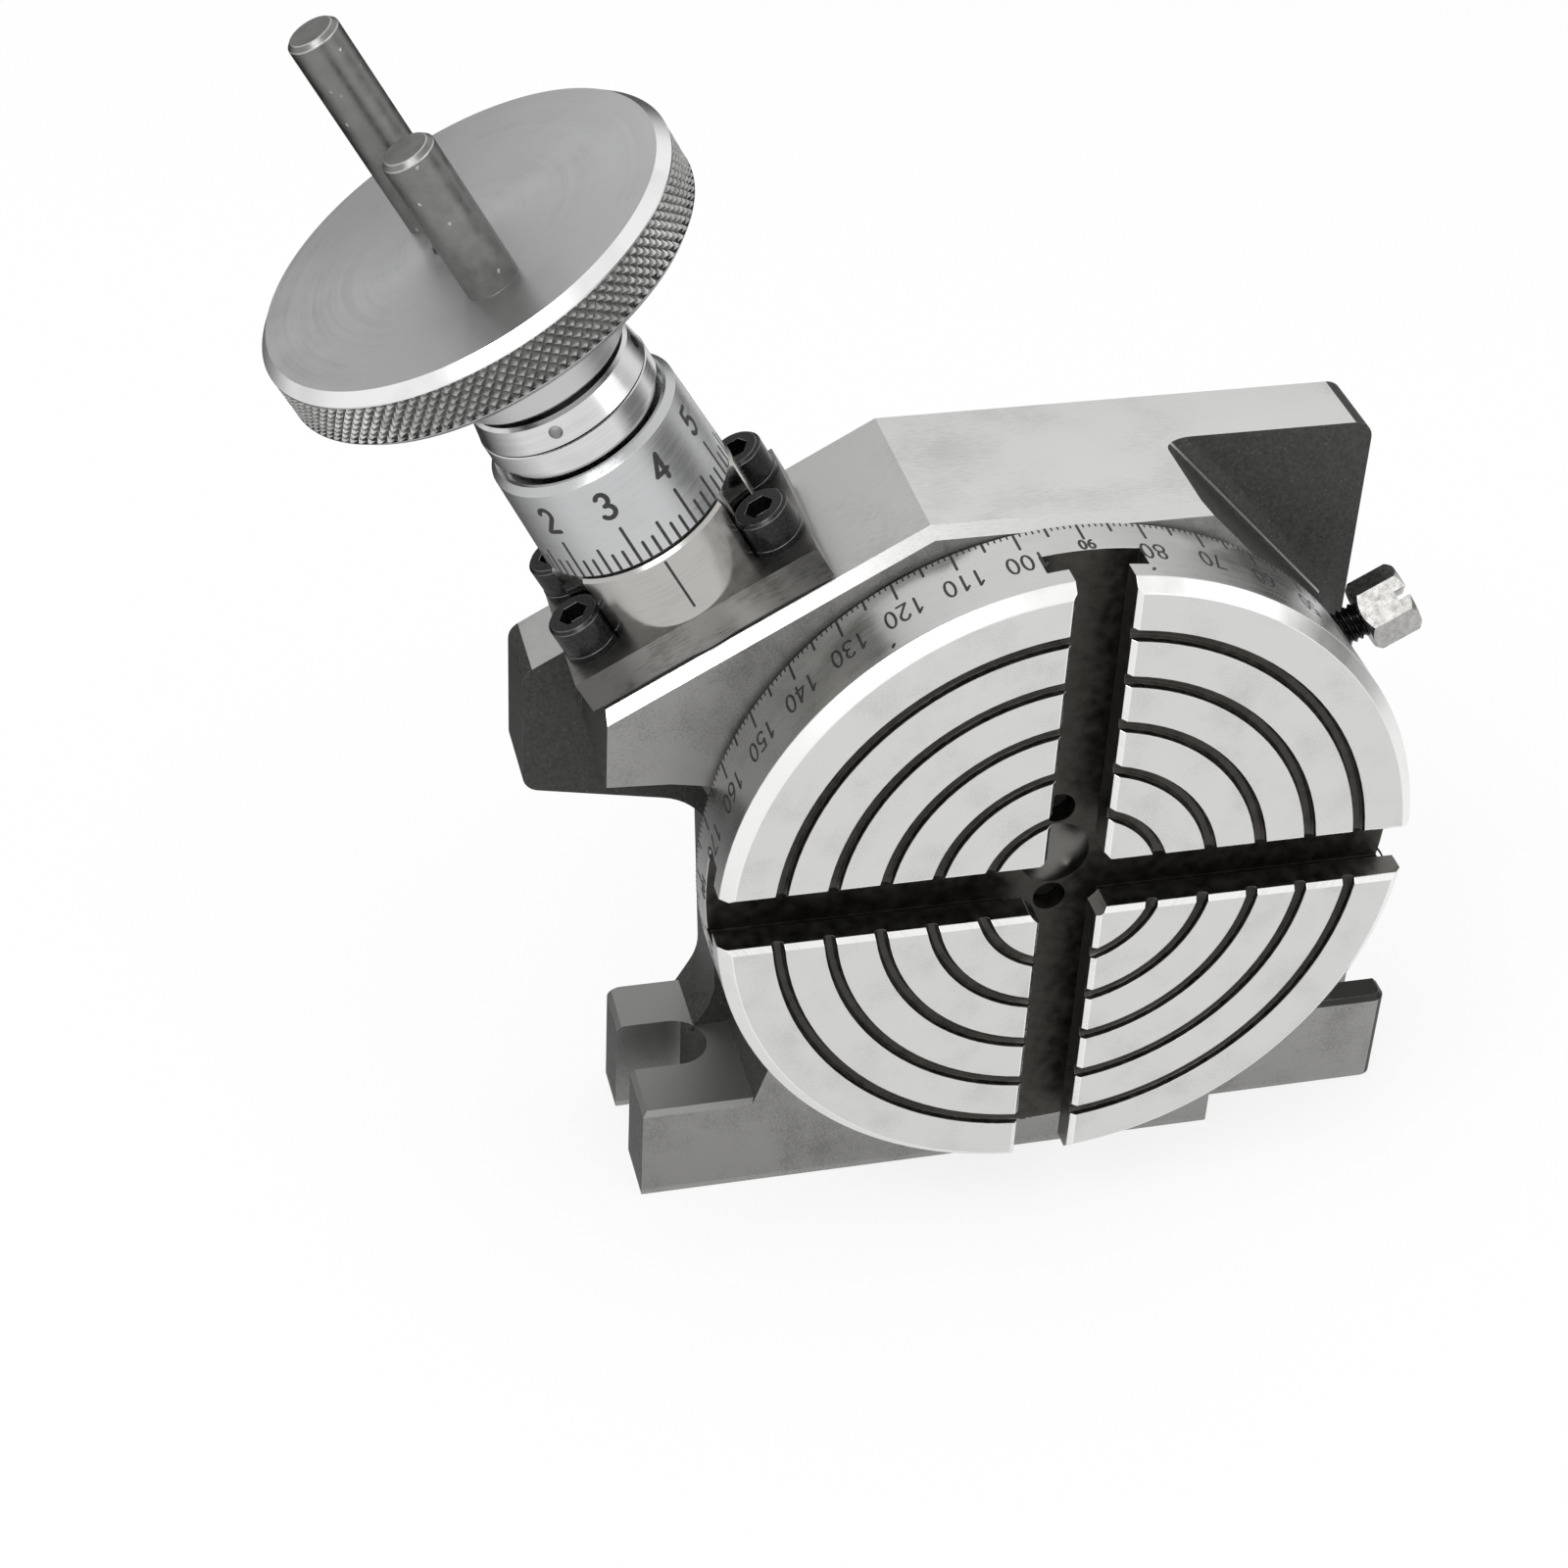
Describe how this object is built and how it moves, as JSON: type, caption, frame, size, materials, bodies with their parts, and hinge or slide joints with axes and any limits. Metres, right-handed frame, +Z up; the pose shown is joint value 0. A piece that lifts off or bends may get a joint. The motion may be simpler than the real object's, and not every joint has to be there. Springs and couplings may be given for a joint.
{
  "type": "rotary table",
  "caption": "Upright and flat rotary table with a T-slotted round table, worm drive, graduated dial, knurled handwheel and table lock screw.",
  "frame": {"origin": "on the foot's underside, straight below the table's axis, in the plane of the worm, midway through the casting's depth", "axes": "+Z up from the foot, +Y from the table's face into the casting, +X to the right when the table's face is seen from the front"},
  "size_m": [0.1833, 0.0658, 0.1955],
  "materials": {
    "iron_casting": "rough cast and machined faces",
    "ground_steel": "ground",
    "bright_steel": "turned and brushed",
    "satin_chrome": "satin chrome",
    "black_oxide": "black oxide, oiled",
    "bronze": "machined",
    "grey_steel": "dull grey, scuffed",
    "zinc_plate": "zinc plated"
  },
  "bodies": {
    "base": {"body_casting": "iron_casting", "rear_cover": "bright_steel", "cover_screws": "black_oxide", "worm_housing": "bright_steel", "flange_screws": "black_oxide", "flange_washers": "black_oxide", "upper_worm_bush": "bronze", "middle_worm_bush": "bronze", "lower_worm_bush": "bronze", "thrust_washer": "bronze"},
    "table": {"table_disc": "ground_steel", "table_spindle": "bright_steel", "table_screws": "black_oxide", "worm_wheel": "bronze", "wheel_key": "bright_steel", "ring_nut": "bright_steel", "centre_plug": "bright_steel"},
    "worm": {"worm_shaft": "bright_steel", "dial_hub": "bright_steel", "dial_hub_pin": "grey_steel", "handwheel": "satin_chrome", "handwheel_set_screw": "black_oxide", "finger_pin_long": "grey_steel", "finger_pin_short": "grey_steel", "dial_pressure_ring": "satin_chrome"},
    "dial": {"dial_ring": "satin_chrome"},
    "dial_nut": {"dial_lock_nut": "satin_chrome"},
    "lock_pad": {"lock_pad": "bronze"},
    "lock_screw": {"lock_screw": "zinc_plate"}
  },
  "joints": [
    {"name": "table_spin", "type": "hinge", "parent": "base", "child": "table", "pos_m": [0, -0.03375, 0.068], "axis": [0, -1, 0], "continuous": true},
    {"name": "worm_spin", "type": "hinge", "parent": "base", "child": "worm", "pos_m": [-0.0527, 0, 0.10632], "axis": [-0.4924, 0, 0.8704], "continuous": true},
    {"name": "dial_set", "type": "hinge", "parent": "worm", "child": "dial", "pos_m": [-0.06609, 0, 0.12999], "axis": [-0.4924, 0, 0.8704], "continuous": true},
    {"name": "dial_nut_turn", "type": "hinge", "parent": "worm", "child": "dial_nut", "pos_m": [-0.07397, 0, 0.14392], "axis": [-0.4924, 0, 0.8704], "range_deg": [0, 90]},
    {"name": "lock_slide", "type": "slide", "parent": "base", "child": "lock_pad", "axis": [-0.8746, 0, -0.4848], "range_m": [0, 0.001]},
    {"name": "lock_turn", "type": "hinge", "parent": "lock_pad", "child": "lock_screw", "pos_m": [0.05073, -0.0105, 0.09612], "axis": [-0.8746, 0, -0.4848], "range_deg": [0, 360]}
  ],
  "couplings": [
    {"joint": "worm_spin", "follows": "table_spin", "ratio": 36},
    {"joint": "lock_turn", "follows": "lock_slide", "rad_per_m": 6283.2}
  ]
}
